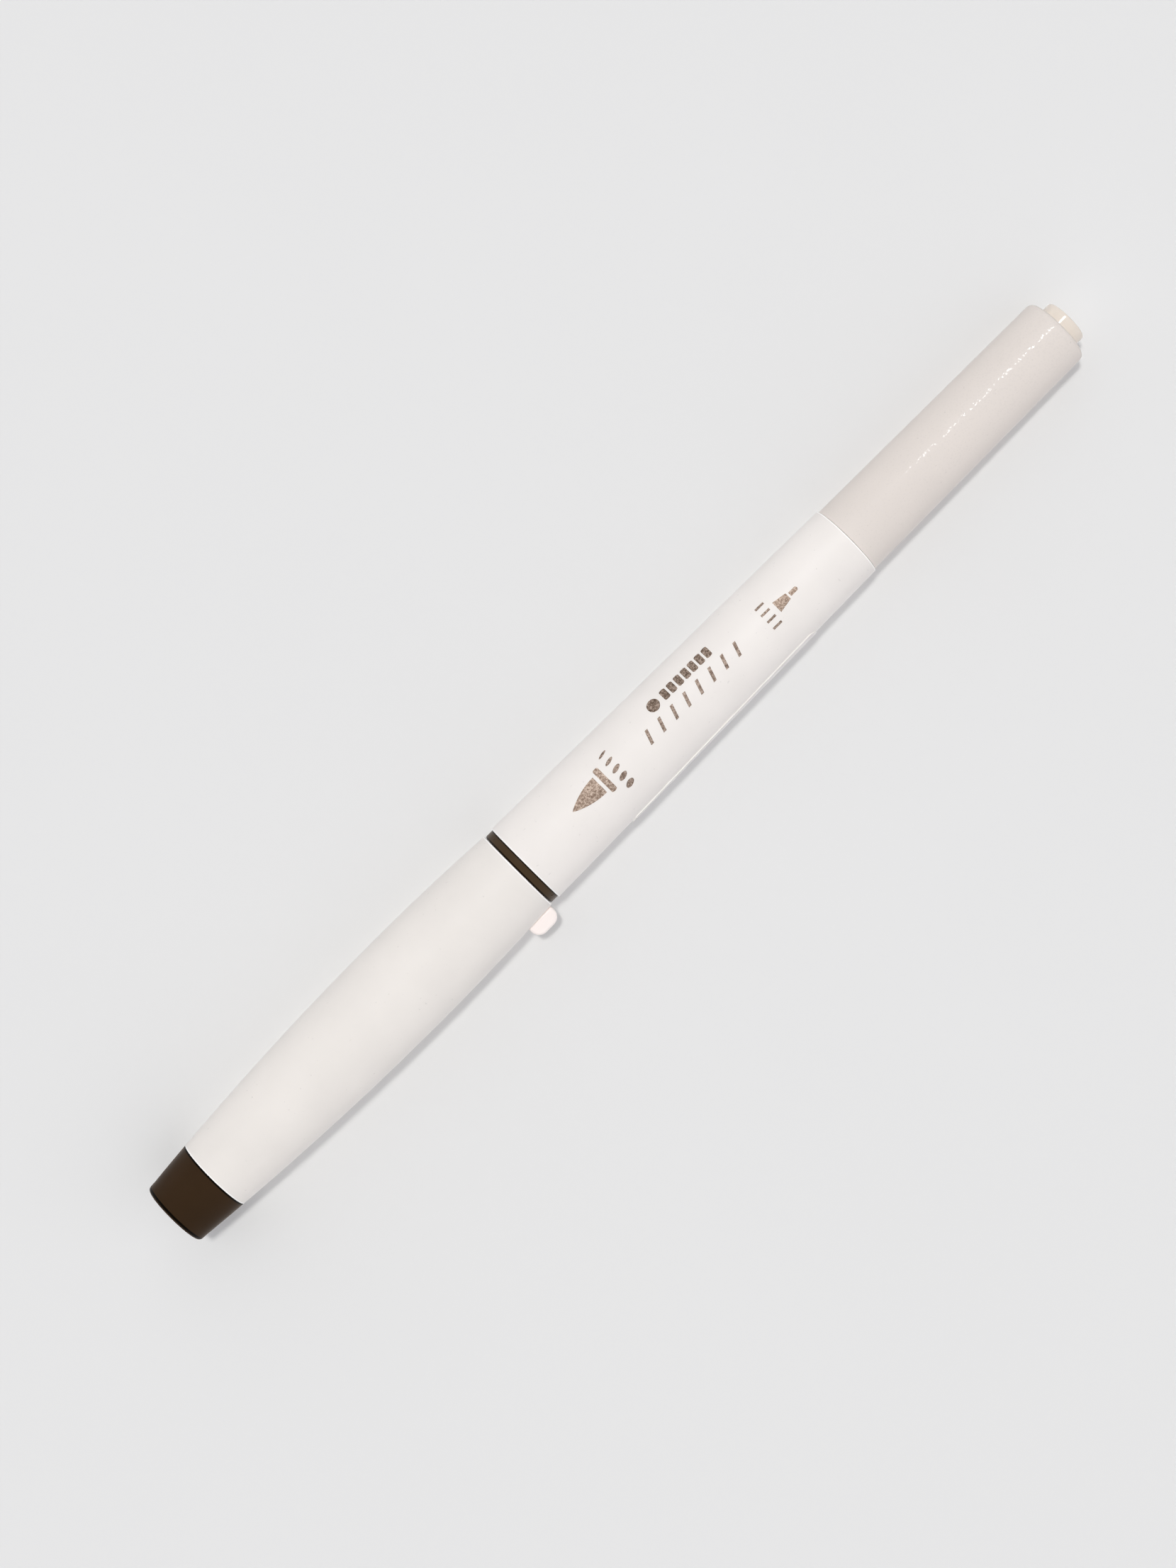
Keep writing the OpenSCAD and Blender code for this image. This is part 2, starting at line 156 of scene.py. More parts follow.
# Air notches round the inner caps' flanges
NOTCHES = 4
FIRST_NOTCH = math.radians(45)
NOTCH_HALF_WIDTH = 0.8
NOTCH_WALL_ANGLE = 1e-3


def cap_radius(x):
    """Radius of the brush cap's torpedo form at a station."""
    curve_r = REAR_CURVE_R if x < BELLY else RIM_CURVE_R
    return BELLY_R - (x - BELLY) ** 2 / (2 * curve_r)


def barrel_radius(x):
    """Radius of the barrel's taper at a station."""
    share = (x - BARREL_START) / (BARREL_END - BARREL_START)
    return BARREL_BRUSH_R + (BARREL_FINE_R - BARREL_BRUSH_R) * share


def at(x, r, angle):
    """The point of the row frame, in metres, at a station, radius and angle round the pen."""
    return Vector((START + x, AXIS_Y + r * math.sin(angle), AXIS_Z + r * math.cos(angle))) * MM


# ---------------------------------------------------------------- mesh helpers

def rounded(corners):
    """Dense outline of [station, radius] points from corners that may carry a fillet radius."""
    points = []
    count = len(corners)
    for i, corner in enumerate(corners):
        here = Vector(corner[:2])
        fillet = corner[2] if len(corner) > 2 else 0
        if not fillet:
            points.append(here)
            continue
        back = Vector(corners[i - 1][:2]) - here
        ahead = Vector(corners[(i + 1) % count][:2]) - here
        half = back.angle(ahead) / 2
        reach = min(fillet / math.tan(half), FILLET_SHARE * back.length, FILLET_SHARE * ahead.length)
        start = here + back.normalized() * reach
        end = here + ahead.normalized() * reach
        for k in range(FILLET_STEPS + 1):
            t = k / FILLET_STEPS
            points.append(start * (1 - t) ** 2 + here * 2 * t * (1 - t) + end * t ** 2)
    return points


def finished(bm, name):
    """Turns a bmesh into a smooth-shaded object with sharp edges kept."""
    bmesh.ops.recalc_face_normals(bm, faces=bm.faces)
    mesh = bpy.data.meshes.new(name)
    bm.to_mesh(mesh)
    bm.free()
    mesh.polygons.foreach_set("use_smooth", [True] * len(mesh.polygons))
    mesh.set_sharp_from_angle(angle=SHARP_ANGLE)
    piece = bpy.data.objects.new(name, mesh)
    bpy.context.scene.collection.objects.link(piece)
    return piece


def even_angles(count=SEGMENTS):
    """Angles spread evenly round the pen."""
    return [math.tau * i / count for i in range(count)]


def lathe(name, corners, angles=None, warp=None):
    """Solid of revolution about the pen. An outline that starts off the axis is closed on itself.
    warp(station, radius, angle) may change the radius round the pen."""
    angles = angles or even_angles()
    outline = rounded(corners)
    bm = bmesh.new()
    rings = []
    for x, r in outline:
        if r < ON_AXIS:
            rings.append([bm.verts.new(at(x, 0, 0))])
            continue
        rings.append([bm.verts.new(at(x, warp(x, r, a) if warp else r, a)) for a in angles])
    pairs = list(zip(rings, rings[1:]))
    if outline[0].y > 0:
        pairs.append((rings[-1], rings[0]))
    for ring, other in pairs:
        for i in range(len(angles)):
            j = (i + 1) % len(angles)
            loop = [ring[i % len(ring)], ring[j % len(ring)]]
            loop += [other[j % len(other)], other[i % len(other)]]
            bm.faces.new(list(dict.fromkeys(loop)))
    return finished(bm, name)


def curve(function, start, end, steps=CURVE_STEPS):
    """Outline points along a radius function, from one station to another."""
    stations = [start + (end - start) * i / steps for i in range(steps + 1)]
    return [(x, function(x)) for x in stations]


def land(start, neck_r, land_r):
    """Outline of a low land round a section's neck, from where its first ramp starts."""
    end = start + LAND_WIDTH
    return [
        (start, neck_r, LAND_RAMP), (start + LAND_RAMP, land_r, LAND_RAMP),
        (end - LAND_RAMP, land_r, LAND_RAMP), (end, neck_r, LAND_RAMP),
    ]


# ---------------------------------------------------------------- material helpers

class Nodes:
    """Short-hand for building one material's node tree."""

    def __init__(self, name):
        self.material = bpy.data.materials.new(name)
        self.material.use_nodes = True
        self.tree = self.material.node_tree
        self.shader = self.tree.nodes["Principled BSDF"]
        self.place = self.add("ShaderNodeTexCoord").outputs["Object"]

    def add(self, kind, **settings):
        """Adds a node with some of its own settings."""
        node = self.tree.nodes.new(kind)
        for key, value in settings.items():
            setattr(node, key, value)
        return node

    def link(self, source, target):
        self.tree.links.new(source, target)

    def stretched(self, stretch):
        """Object coordinates, in millimetres, scaled by a factor along each axis."""
        mapping = self.add("ShaderNodeMapping")
        mapping.inputs["Scale"].default_value = [s / MM for s in stretch]
        self.link(self.place, mapping.inputs["Vector"])
        return mapping.outputs["Vector"]

    def noise(self, scale, detail=2.0, roughness=0.5, stretch=(1, 1, 1)):
        """Noise from 0 to 1, with scale in features per millimetre."""
        noise = self.add("ShaderNodeTexNoise")
        noise.inputs["Scale"].default_value = scale
        noise.inputs["Detail"].default_value = detail
        noise.inputs["Roughness"].default_value = roughness
        self.link(self.stretched(stretch), noise.inputs["Vector"])
        return noise.outputs["Fac"]

    def cells(self, scale):
        """Distance to the nearest of a field of random points, in their own spacing, with scale in
        points per millimetre."""
        cells = self.add("ShaderNodeTexVoronoi")
        cells.inputs["Scale"].default_value = scale
        self.link(self.stretched((1, 1, 1)), cells.inputs["Vector"])
        return cells.outputs["Distance"]

    def along(self, start, end):
        """Share of the way from one station to another, not clamped."""
        split = self.add("ShaderNodeSeparateXYZ")
        self.link(self.place, split.inputs["Vector"])
        share = self.add("ShaderNodeMapRange", clamp=False)
        share.inputs["From Min"].default_value = (START + start) * MM
        share.inputs["From Max"].default_value = (START + end) * MM
        self.link(split.outputs["X"], share.inputs["Value"])
        return share.outputs["Result"]

    def math(self, operation, *values):
        """Math node on sockets or numbers."""
        node = self.add("ShaderNodeMath", operation=operation)
        for socket, value in zip(node.inputs, values):
            self.fill(socket, value)
        return node.outputs["Value"]

    def lines(self, stations, width):
        """1 within half a width of any of the stations, and 0 elsewhere."""
        place = self.along(0, 1)
        total = 0.0
        for station in stations:
            hit = self.math("COMPARE", place, station, width / 2)
            total = self.math("MAXIMUM", hit, total)
        return total

    def ramp(self, value, stops):
        """Colour ramp with (position, colour) stops; a number stands for a grey."""
        ramp = self.add("ShaderNodeValToRGB")
        elements = ramp.color_ramp.elements
        while len(elements) < len(stops):
            elements.new(0.5)
        for element, (position, colour) in zip(elements, stops):
            element.position = position
            grey = isinstance(colour, (int, float))
            element.color = (colour, colour, colour, 1) if grey else (*colour, 1)
        self.link(value, ramp.inputs["Fac"])
        return ramp.outputs["Color"]

    def mixed(self, factor, first_colour, second_colour):
        """The first colour where the factor is 0, and the second where it is 1."""
        mix = self.add("ShaderNodeMix", data_type="RGBA")
        self.fill(mix.inputs["Factor"], factor)
        self.fill(mix.inputs["A"], first_colour)
        self.fill(mix.inputs["B"], second_colour)
        return mix.outputs["Result"]

    def clouded(self, colour, low, high, scale=0.16):
        """A colour that varies softly between two factors of itself."""
        cloud = self.noise(scale, detail=3)
        return self.ramp(cloud, [(0.3, tinted(colour, low)), (0.7, tinted(colour, high))])

    def specked(self, tint, colour, depth):
        """A tint with a few small specks, darker than a colour by a share of it."""
        specks = self.ramp(self.noise(3.1, detail=0), [(0.12, 1.0), (0.19, 0.0)])
        return self.mixed(specks, tint, tinted(colour, 1 - depth))

    def fill(self, socket, value):
        """Links a socket, or sets it to a constant."""
        if isinstance(value, bpy.types.NodeSocket):
            self.link(value, socket)
        elif isinstance(value, (int, float)):
            socket.default_value = value
        else:
            socket.default_value = (*value, 1)

    def bump(self, height, distance, under=None):
        """Bump of a height from 0 to 1 over a distance in millimetres, on top of another bump if one is
        given."""
        bump = self.add("ShaderNodeBump")
        bump.inputs["Distance"].default_value = distance * MM
        self.link(height, bump.inputs["Height"])
        if under:
            self.link(under, bump.inputs["Normal"])
        return bump.outputs["Normal"]

    def set(self, **values):
        """Sets shader sockets, with _ for a space in their names."""
        for key, value in values.items():
            socket = self.shader.inputs[key.replace("_", " ")]
            if isinstance(value, bpy.types.NodeSocket):
                self.link(value, socket)
            elif isinstance(value, (int, float)):
                socket.default_value = value
            elif len(value) == 3 and len(socket.default_value) == 4:
                socket.default_value = (*value, 1)
            else:
                socket.default_value = value


def srgb(r, g, b):
    """Linear colour from the usual 0 to 255 values."""
    return tuple(((c / 255 + 0.055) / 1.055) ** 2.4 if c > 10 else c / 255 / 12.92 for c in (r, g, b))


def tinted(colour, factor):
    """A colour made lighter or darker by a factor."""
    return tuple(min(1.0, c * factor) for c in colour)


def plastic(name, colour, rough=0.45, peel=0.004, specks=0.0, sheen=0.0, sheen_tint=(1, 1, 1),
            shift=0.02, specular=0.5, joints=(), painted_light_colour=(0, 0, 0), painted_light_width=0.2):
    """Moulded plastic: cloudy tint, fine moulding texture, uneven gloss and a few specks. Lines of another
    tint at given stations near the mouldings' edges are painted light: a bright line where an edge would
    catch the light, or a dark line where shade gathers in a gap."""
    n = Nodes(name)
    tint = n.clouded(colour, 1 - shift, 1 + shift)
    if specks:
        tint = n.specked(tint, colour, specks)
    # Painted highlight or painted shade: lines of another tint along the mouldings' edges
    if joints:
        tint = n.mixed(n.lines(joints, painted_light_width), tint, painted_light_colour)
    grain = n.noise(4.5, detail=3, roughness=0.6)
    wide = n.noise(0.9, detail=2)
    gloss = n.ramp(wide, [(0.25, rough * 0.88), (0.75, rough * 1.12)])
    normal = n.bump(grain, peel)
    normal = n.bump(wide, peel * 2.5, under=normal)
    n.set(Base_Color=tint, Roughness=gloss, Normal=normal, IOR=1.49, Specular_IOR_Level=specular)
    if sheen:
        n.set(Sheen_Weight=sheen, Sheen_Roughness=0.2, Sheen_Tint=sheen_tint)
    return n.material


def glossy_cap(name, colour):
    """Satin moulded plastic with small glossy dots, denser towards the cap's end, that break up its
    shine. They fade where the surface is seen edge on."""
    n = Nodes(name)
    tint = n.specked(n.clouded(colour, 0.985, 1.01), colour, 0.1)
    wide = n.noise(0.9, detail=2)
    spread = n.math("MULTIPLY_ADD", n.along(FINE_RIM, FINE_END), -0.17, n.cells(3.0))
    dots = n.ramp(spread, [(0.22, 0.6), (0.28, 0.0)])
    facing = n.add("ShaderNodeLayerWeight").outputs["Facing"]
    coat = n.math("MULTIPLY", dots, n.ramp(facing, [(0.2, 1.0), (0.5, 0.0)]))
    n.set(Base_Color=tint, Roughness=n.ramp(wide, [(0.25, 0.4), (0.75, 0.5)]), Normal=n.bump(wide, 0.002),
          IOR=1.49, Specular_IOR_Level=0.2, Coat_Weight=coat, Coat_Roughness=0.05, Coat_IOR=1.49,
          Sheen_Weight=0.2, Sheen_Roughness=0.2)
    return n.material


def fibre(name, colour, across=14.0, depth=0.02):
    """Fibres running along the pen, with darker blotches. across is their number to a millimetre."""
    n = Nodes(name)
    strands = n.noise(1.0, detail=2, stretch=(0.25, across, across))
    blotch = n.noise(0.7, detail=3)
    bundle = n.ramp(strands, [(0.3, tinted(colour, 0.55)), (0.7, tinted(colour, 1.35))])
    tint = n.mixed(n.ramp(blotch, [(0.35, 0.0), (0.7, 0.35)]), bundle, tinted(colour, 0.6))
    n.set(Base_Color=tint, Roughness=n.ramp(strands, [(0.2, 0.7), (0.8, 0.9)]),
          Normal=n.bump(strands, depth), Sheen_Weight=0.25)
    return n.material


def foil(name, dark, middle, light):
    """Rose-gold stamped foil, mottled where it has taken unevenly."""
    n = Nodes(name)
    fine = n.noise(4.2, detail=2, roughness=0.8)
    grain = n.ramp(fine, [(0.38, dark), (0.5, middle), (0.62, light)])
    tint = n.mixed(n.ramp(n.noise(1.6), [(0.3, 0.0), (0.75, 0.25)]), grain, middle)
    n.set(Base_Color=tint, Metallic=0.3, Roughness=n.ramp(fine, [(0.3, 0.35), (0.7, 0.55)]),
          Normal=n.bump(fine, 0.006))
    return n.material


def milky(name, colour):
    """Natural, slightly see-through moulded plastic."""
    n = Nodes(name)
    tint = n.clouded(colour, 0.96, 1.02, scale=0.3)
    n.set(Base_Color=tint, Roughness=n.ramp(n.noise(1.1), [(0.3, 0.32), (0.7, 0.44)]),
          Normal=n.bump(n.noise(3.0, detail=3), 0.005), IOR=1.49,
          Subsurface_Weight=0.35, Subsurface_Radius=(0.6, 0.6, 0.6), Subsurface_Scale=MM)
    return n.material


def steel():
    """Drawn steel tube with fine lines along it."""
    n = Nodes("drawn_steel")
    lines = n.noise(1.0, detail=2, stretch=(0.4, 30, 30))
    tint = n.ramp(lines, [(0.3, (0.46, 0.46, 0.47)), (0.7, (0.68, 0.68, 0.69))])
    n.set(Base_Color=tint, Metallic=1.0, Roughness=n.ramp(lines, [(0.3, 0.2), (0.7, 0.34)]),
          Normal=n.bump(lines, 0.003))
    return n.material


def paper(name, colour):
    """Satin label stock."""
    n = Nodes(name)
    weave = n.noise(9.0, detail=4, roughness=0.7)
    tint = n.ramp(weave, [(0.3, tinted(colour, 0.975)), (0.7, tinted(colour, 1.01))])
    n.set(Base_Color=tint, Roughness=n.ramp(weave, [(0.3, 0.42), (0.7, 0.55)]), Normal=n.bump(weave, 0.004))
    return n.material


# How far in from a moulding's edge the middle of its painted line of light or shade lies
EDGE = 0.06
# Painted highlight: near-white lines at the pale mouldings' edges, where the edges would catch the light
PALE_EDGE_HIGHLIGHTS = (SEAM + EDGE, BRUSH_RIM - EDGE, BARREL_START + EDGE, BARREL_END - EDGE)
PALE_EDGE_HIGHLIGHT_COLOUR = srgb(255, 253, 251)
PALE = plastic("pale_plastic", srgb(239, 234, 230), rough=0.46, peel=0.003, specks=0.10, sheen=0.25,
               joints=PALE_EDGE_HIGHLIGHTS, painted_light_colour=PALE_EDGE_HIGHLIGHT_COLOUR)
# A darker copy of the pale plastic for the brush cap's shell: painted shade for the dimmer light along the
# cap
SHADED_SHELL_PLASTIC = plastic("shell_plastic_shaded", srgb(234, 229, 224), rough=0.46, peel=0.003, specks=0.10, sheen=0.25,
                joints=PALE_EDGE_HIGHLIGHTS, painted_light_colour=PALE_EDGE_HIGHLIGHT_COLOUR)
LUG = plastic("lug_plastic", srgb(252, 242, 238), rough=0.36, peel=0.003)
BROWN_SHEEN = srgb(150, 105, 60)
# Near-black lines at the plug's end corner and beside its seam with the shell are painted shade
BROWN = plastic("brown_plastic", srgb(55, 40, 26), rough=0.35, peel=0.002, shift=0.06, specular=0.05,
                sheen=0.2, sheen_tint=BROWN_SHEEN, joints=(0.36, SEAM - EDGE),
                painted_light_colour=srgb(12, 8, 4), painted_light_width=0.28)
# Dark lines at both edges of the ring are painted shade, where shade gathers in the joints beside it
RING = plastic("ring_plastic", srgb(70, 55, 39), rough=0.3, peel=0.002, shift=0.06, specular=0.09,
               sheen=0.12, sheen_tint=BROWN_SHEEN, joints=(BRUSH_RIM + 0.14, BARREL_START - EDGE),
               painted_light_colour=srgb(28, 20, 12), painted_light_width=0.18)
BEIGE = glossy_cap("beige_plastic", srgb(224, 216, 210))
BUTTON = plastic("button_plastic", srgb(227, 217, 206), rough=0.05, peel=0.0015, sheen=0.1)
NATURAL = milky("natural_plastic", srgb(232, 231, 226))
LABEL = paper("label_paper", srgb(238, 234, 231))
# Near-white stock for the label's edge and outermost strips: painted highlight where the edge would catch the
# light
LABEL_EDGE_HIGHLIGHT = paper("label_edge_highlight", srgb(255, 254, 252))
FOIL = foil("foil_print", srgb(134, 110, 94), srgb(180, 157, 140), srgb(222, 202, 186))
FINE_FOIL = foil("foil_print_fine", srgb(118, 96, 82), srgb(160, 140, 126), srgb(200, 180, 166))
DARK_FOIL = foil("foil_print_dark", srgb(88, 70, 58), srgb(140, 120, 105), srgb(190, 170, 156))
STEEL = steel()
BRUSH_FIBRE = fibre("brush_fibre", srgb(88, 62, 45))
INK_FIBRE = fibre("ink_fibre", srgb(120, 88, 64), across=9.0, depth=0.03)
TIP_ROD = plastic("tip_rod_plastic", srgb(74, 54, 42), rough=0.5, peel=0.004)
FILM = milky("clear_film", srgb(222, 224, 224))


def dress(piece, material, body, slot, *nodes):
    """Gives a piece its material, the body that it rides on and the nodes it stands for. Its slot is not
    used.
    """
    piece.data.materials.clear()
    piece.data.materials.append(material)
    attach(piece, body)
    if nodes:
        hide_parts(*nodes)
    return piece


# ---------------------------------------------------------------- brush cap

def brush_cap_shell():
    """Torpedo-shaped cap, open at both ends. Its curve stops a little short of each, for the fillets."""
    corners = [(SEAM, PLUG_STEM_R, 0.05), (SEAM, cap_radius(SEAM), 0.07)]
    corners += curve(cap_radius, SEAM + 0.2, BRUSH_RIM - 0.25)
    corners += [
        (BRUSH_RIM, cap_radius(BRUSH_RIM), 0.12),
        (BRUSH_RIM, BRUSH_SEAT_R, 0.12),
        (BRUSH_SHOULDER, BRUSH_SEAT_R, 0.05),
        (BRUSH_SHOULDER, BRUSH_CAVITY_R, 0.05),
        (PLUG_SOCKET, BRUSH_CAVITY_R, 0.1),
        (PLUG_SOCKET, PLUG_STEM_R, 0.1),
    ]
    dress(lathe("brush_cap_shell_moulding", corners), SHADED_SHELL_PLASTIC, "brush_cap", "pale_plastic", "brush_cap_shell")


def brush_cap_plug():
    """Closed end plug, with a shallow dished face and the mark where the mould was filled."""
    corner = 0.8
    dish_r, dish_depth = 2.9, 0.16
    mark_r, mark_depth = 0.45, 0.10
    hollow_r, hollow = 2.6, 1.6
    stem_end = last("brush_cap_plug")
    corners = [
        (mark_depth, 0), (mark_depth, mark_r, 0.04), (dish_depth + 0.02, mark_r + 0.08, 0.05),
        (dish_depth, dish_r, 0.12), (0, dish_r + 0.2, 0.12), (0, cap_radius(corner / 2), corner),
    ]
    corners += curve(cap_radius, corner + 0.3, SEAM - 0.15, 24)
    corners += [
        (SEAM, cap_radius(SEAM), 0.06), (SEAM, PLUG_STEM_R), (stem_end, PLUG_STEM_R, 0.3),
        (stem_end, hollow_r, 0.1), (hollow, hollow_r, 0.2), (hollow, 0),
    ]
    dress(lathe("brush_cap_plug_moulding", corners), BROWN, "brush_cap", "brown_plastic", "brush_cap_plug")


def roll_stop_lug():
    """Lug with rounded outer corners and softened edges, set in the shell."""
    below_side = math.radians(12)
    sunk, proud = 0.12, 1.7
    half_thickness = 1.0
    corner, corner_steps = 1.2, 10
    soft_edge = 0.3
    start, end = first("roll_stop_lug"), last("roll_stop_lug")
    middle, half = (start + end) / 2, (end - start) / 2
    foot, top = cap_radius(middle) - sunk, cap_radius(middle) + proud
    quarter = [math.pi / 2 * k / corner_steps for k in range(corner_steps + 1)]
    arc = [(half - corner + corner * math.cos(a), top - corner + corner * math.sin(a)) for a in quarter]
    outline = [(-half, foot)] + [(-x, out) for x, out in arc] + arc[::-1] + [(half, foot)]
    angle = -(math.pi / 2 + below_side)
    across = Vector((0, -math.sin(below_side), math.cos(below_side)))
    bm = bmesh.new()
    low, high = [[bm.verts.new(at(middle + x, out, angle) + across * level * MM) for x, out in outline]
                 for level in (-half_thickness, half_thickness)]
    count = len(outline)
    for i in range(count):
        j = (i + 1) % count
        bm.faces.new([low[i], low[j], high[j], high[i]])
    bm.faces.new(low)
    bm.faces.new(high)
    piece = finished(bm, "roll_stop_lug_moulding")
    bevel = piece.modifiers.new("soft_edges", "BEVEL")
    bevel.width = soft_edge * MM
    bevel.segments = 5
    bevel.limit_method = "ANGLE"
    bevel.angle_limit = math.radians(50)
    bevel.harden_normals = False
    dress(piece, LUG, "brush_cap", "lug_plastic", "roll_stop_lug")


def notched_angles(half_angle):
    """Even angles, with pairs added at the edges of each notch so that its walls are upright."""
    angles = set(even_angles())
    for k in range(NOTCHES):
        middle = FIRST_NOTCH + math.tau * k / NOTCHES
        for edge in (middle - half_angle, middle + half_angle):
            angles |= {edge - NOTCH_WALL_ANGLE, edge + NOTCH_WALL_ANGLE}
    return sorted(a % math.tau for a in angles)


def liner(name, corners, flange, floor_r, width_r, body, node):
    """Inner cap with air notches through its flange, which reaches from one station to another. floor_r
    is the radius of the notches' floor, and width_r the radius at which they have their width."""
    half_angle = math.asin(NOTCH_HALF_WIDTH / width_r)
    pitch = math.tau / NOTCHES
    margin = 0.01

    def warp(x, r, angle):
        if not flange[0] - margin <= x <= flange[1] + margin or r < floor_r:
            return r
        off = (angle - FIRST_NOTCH) % pitch
        return floor_r if min(off, pitch - off) < half_angle else r

    piece = lathe(name, corners, notched_angles(half_angle), warp)
    dress(piece, NATURAL, body, "natural_plastic", node)


def brush_cap_liner():
    """Inner cap that seals on the brush section's boss."""
    end, mouth = first("brush_cap_liner"), last("brush_cap_liner")
    flange = mouth - 3.2
    floor_end = end + 1
    seal_end, bore_start = BRUSH_BOSS - 0.2, BRUSH_BOSS - 0.35
    outer_r, seal_r, bore_r = 3.95, 3.25, 3.1
    flange_r = half_height("brush_cap_liner")
    corners = [
        (end, 0), (end, outer_r, 0.8), (flange, outer_r), (flange, flange_r, 0.05), (mouth, flange_r, 0.12),
        (mouth, seal_r, 0.2), (seal_end, seal_r), (bore_start, bore_r), (floor_end, bore_r, 0.5),
        (floor_end, 0),
    ]
    liner("brush_cap_liner_moulding", corners, (flange, mouth), floor_r=4.1, width_r=4.3,
          body="brush_cap_carrier", node="brush_cap_liner")


# ---------------------------------------------------------------- pen body

def barrel():
    """Tapered tube, with a seat for each section and a ledge that stops the reservoir."""
    ledge_start, ledge_end, ledge_r = 95.0, 96.5, 3.3
    bore_r = 3.9
    corners = [
        (BARREL_START, BARREL_BRUSH_R, 0.1), (BARREL_END, BARREL_FINE_R, 0.12), (BARREL_END, FINE_SEAT_R),
        (ledge_end, FINE_SEAT_R), (ledge_end, ledge_r), (ledge_start, ledge_r), (ledge_start, bore_r),
        (BRUSH_TAIL, bore_r), (BRUSH_TAIL, BRUSH_TAIL_R), (BARREL_START, BRUSH_TAIL_R),
    ]
    dress(lathe("barrel_moulding", corners), PALE, "pen", "pale_plastic", "barrel")


def brush_section():
    """Front section: cone, sealing boss, neck with two lands, the second of which runs into the collar,
    and a tail in the barrel."""
    collar = BRUSH_RIM + 0.05
    tail_bore, tail_bore_r = collar - 6, 3.2
    socket, socket_r = 36.6, 2.6
    corners = [
        (BRUSH_CONE, BRUSH_NIB_R, 0.08), (BRUSH_CONE, BRUSH_CONE_R, 0.15),
        (BRUSH_BOSS - BOSS_BEVEL, BRUSH_BOSS_R - BOSS_BEVEL, 0.2), (BRUSH_BOSS, BRUSH_BOSS_R, 0.15),
        (BRUSH_NECK, BRUSH_BOSS_R, 0.12), (BRUSH_NECK, BRUSH_NECK_R, 0.3),
        *land(collar - LAND_PITCH - LAND_WIDTH, BRUSH_NECK_R, BRUSH_LAND_R),
        *land(collar - LAND_WIDTH, BRUSH_NECK_R, BRUSH_LAND_R)[:2],
        (collar, BRUSH_LAND_R, 0.04), (collar, COLLAR_R, 0.22), (BARREL_START, COLLAR_R, 0.06),
        (BARREL_START, BRUSH_TAIL_R), (BRUSH_TAIL, BRUSH_TAIL_R, 0.1), (BRUSH_TAIL, tail_bore_r),
        (tail_bore, tail_bore_r), (tail_bore, socket_r), (socket, socket_r), (socket, BRUSH_NIB_R),
    ]
    dress(lathe("brush_section_moulding", corners), RING, "pen", "brown_plastic", "brush_section")


def brush_tip():
    """Brush of bundled fibres: fluted all along, fining to a point."""
    tip = first("brush_nib")
    reach = BRUSH_CONE - tip
    point_r, fullness = 0.1, 0.85
    flutes, flute_steps = 44, 8
    depth, fading = 0.05, 2.5

    def radius(x):
        share = min(max((x - tip) / reach, 0), 1)
        return point_r + (BRUSH_NIB_R - point_r) * math.sin(math.pi / 2 * share) ** fullness

    def fluted(x, r, angle):
        wander = 0.5 * math.sin(3 * angle) + 0.3 * math.sin(x * 1.3 + 5 * angle)
        ridge = abs(math.sin(flutes / 2 * angle + wander))
        return r * (1 - depth * (1 - ridge) * min(1, (x - tip) / fading))

    corners = [(tip, 0)] + curve(radius, tip + 0.04, BRUSH_CONE, 72)
    corners += [(last("brush_nib"), BRUSH_NIB_R), (last("brush_nib"), 0)]
    angles = even_angles(flutes * flute_steps)
    dress(lathe("brush_tip", corners, angles, fluted), BRUSH_FIBRE, "pen", "nib_fibre", "brush_nib")


def fine_section():
    """Front section: tail in the barrel, neck with two lands, the first of which starts at the barrel,
    sealing boss and cone."""
    tail = first("fine_section")
    tail_bore, tail_bore_r = BARREL_END + 3.2, 2.4
    corners = [
        (tail, tail_bore_r), (tail, FINE_SEAT_R, 0.1), (BARREL_END, FINE_SEAT_R), (BARREL_END, FINE_LAND_R),
        *land(BARREL_END, FINE_NECK_R, FINE_LAND_R)[2:],
        *land(BARREL_END + LAND_PITCH, FINE_NECK_R, FINE_LAND_R),
        (FINE_NECK, FINE_NECK_R, 0.3), (FINE_NECK, FINE_BOSS_R, 0.12), (FINE_BOSS, FINE_BOSS_R, 0.15),
        (FINE_BOSS + BOSS_BEVEL, FINE_BOSS_R - BOSS_BEVEL, 0.2), (FINE_CONE, FINE_CONE_R, 0.15),
        (FINE_CONE, FINE_CORE_R, 0.05), (tail_bore, FINE_CORE_R), (tail_bore, tail_bore_r),
    ]
    dress(lathe("fine_section_moulding", corners), BEIGE, "pen", "beige_plastic", "fine_section")


def fine_tip():
    """Stepped metal tube, and the rod with a round point that it guides."""
    angles = even_angles(96)
    tail, nose, nose_r = first("fine_nib_tube"), last("fine_nib_tube"), 0.65
    step, step_end = FINE_CONE + 0.6, FINE_CONE + 0.85
    tube = [
        (tail, FINE_NIB_R), (tail, FINE_CORE_R), (step, FINE_CORE_R, 0.12), (step_end, nose_r, 0.12),
        (nose, nose_r, 0.1), (nose, FINE_NIB_R, 0.02),
    ]
    dress(lathe("fine_tip_tube", tube, angles), STEEL, "pen", "nib_steel", "fine_nib_tube")
    root, point, point_fillet = first("fine_nib"), last("fine_nib"), 0.42
    rod = [(root, 0), (root, FINE_NIB_R), (point, FINE_NIB_R, point_fillet), (point, 0)]
    dress(lathe("fine_tip_rod", rod, angles), TIP_ROD, "pen", "nib_plastic", "fine_nib")


# ---------------------------------------------------------------- fine cap

